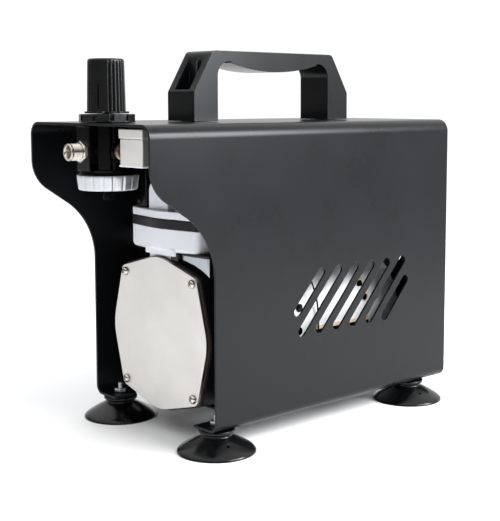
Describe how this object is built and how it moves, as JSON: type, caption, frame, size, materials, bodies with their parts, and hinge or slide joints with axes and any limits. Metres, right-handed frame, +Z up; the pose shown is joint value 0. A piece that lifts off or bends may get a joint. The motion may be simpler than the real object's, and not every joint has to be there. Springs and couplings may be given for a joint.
{
  "type": "airbrush compressor",
  "caption": "Small piston air compressor for an airbrush, in a bent steel wrap-around case with a carry handle, pressure regulator, moisture trap and suction-cup feet.",
  "frame": {"origin": "on the floor under the middle of the machine, at the centre of its bounding box", "axes": "+Z up; the regulator and pump cover face -Y; the side with the pressure switch is +X"},
  "size_m": [0.146, 0.2736, 0.2353],
  "materials": {
    "black_paint": "satin black paint",
    "black_plastic": "moulded satin black plastic",
    "gloss_black": "gloss black",
    "black_casting": "black-coated die casting",
    "black_rubber": "glossy black rubber",
    "satin_nickel": "satin nickel",
    "bright_nickel": "bright nickel plate",
    "silver": "bright aluminium",
    "white_paint": "white painted die casting",
    "gasket": "brown fibre gasket",
    "steel": "bright steel",
    "brass": "turned brass",
    "copper": "enamelled copper wire",
    "bronze": "sintered bronze",
    "hose": "nylon pressure hose"
  },
  "bodies": {
    "case": {"air_hose": "hose", "cord_gland": "black_plastic", "cover_gasket": "gasket", "cover_plate": "satin_nickel", "cover_screw_1": "bright_nickel", "cover_screw_2": "bright_nickel", "cover_screw_3": "bright_nickel", "cover_screw_4": "bright_nickel", "crankcase": "black_casting", "cylinder": "white_paint", "cylinder_head": "white_paint", "diaphragm": "black_rubber", "end_bell_front": "silver", "end_bell_rear": "silver", "filter_element": "bronze", "foot_stud_1": "steel", "foot_stud_2": "steel", "foot_stud_3": "steel", "foot_stud_4": "steel", "front_mount": "black_rubber", "handle": "black_plastic", "handle_screw_1": "steel", "handle_screw_2": "steel", "inlet_lead": "black_rubber", "intake_silencer": "gloss_black", "main_bearing": "steel", "motor_casing": "silver", "motor_lead": "black_rubber", "mount_frame": "black_paint", "outlet_nipple": "bright_nickel", "panel_nut": "black_plastic", "pressure_switch_body": "satin_nickel", "pressure_switch_cap": "satin_nickel", "rear_mount": "black_rubber", "rear_panel": "black_paint", "regulator_body": "gloss_black", "regulator_spring": "steel", "shell": "black_paint", "stator": "steel", "suction_foot_1": "black_rubber", "suction_foot_2": "black_rubber", "suction_foot_3": "black_rubber", "suction_foot_4": "black_rubber", "switch_frame": "black_plastic", "trap_bowl": "silver", "union_flange": "bright_nickel", "valve_plate": "black_casting", "winding": "copper"},
    "adjuster": {"adjusting_screw": "steel"},
    "knob_body": {"knob": "black_plastic"},
    "follower": {"spring_follower": "brass"},
    "drain": {"drain_valve": "gloss_black"},
    "crank": {"crankshaft": "steel", "rotor": "steel", "fan": "black_plastic"},
    "rod": {"con_rod": "silver", "wrist_pin": "steel"},
    "piston_body": {"piston": "silver", "piston_seal": "black_rubber"},
    "rocker": {"switch_rocker": "gloss_black"}
  },
  "joints": [
    {"name": "knob_turn", "type": "hinge", "parent": "case", "child": "adjuster", "pos_m": [0, -0.11, 0.2], "axis": [0, 0, -1], "range_deg": [0, 1080]},
    {"name": "knob_lift", "type": "slide", "parent": "adjuster", "child": "knob_body", "axis": [0, 0, 1], "range_m": [0, 0.003]},
    {"name": "follower_travel", "type": "slide", "parent": "case", "child": "follower", "axis": [0, 0, -1], "range_m": [0, 0.003], "deforming": ["regulator_spring"]},
    {"name": "drain_push", "type": "slide", "parent": "case", "child": "drain", "axis": [0, 0, 1], "range_m": [0, 0.002], "stiffness_N_per_m": 200},
    {"name": "crank_spin", "type": "hinge", "parent": "case", "child": "crank", "pos_m": [0, -0.047, 0.063], "axis": [0, 1, 0], "continuous": true},
    {"name": "rod_pivot", "type": "hinge", "parent": "crank", "child": "rod", "pos_m": [0, -0.047, 0.067], "axis": [0, 1, 0], "continuous": true},
    {"name": "piston_slide", "type": "slide", "parent": "case", "child": "piston_body", "axis": [0, 0, 1], "range_m": [-0.008, 0]},
    {"name": "rocker_tilt", "type": "hinge", "parent": "case", "child": "rocker", "pos_m": [0.03, 0.1175, 0.15], "axis": [-1, 0, 0], "range_deg": [0, 16]}
  ],
  "couplings": [
    {"joint": "follower_travel", "follows": "knob_turn", "m_per_rad": 0.00015915},
    {"joint": "rod_pivot", "follows": "crank_spin", "ratio": -1}
  ]
}
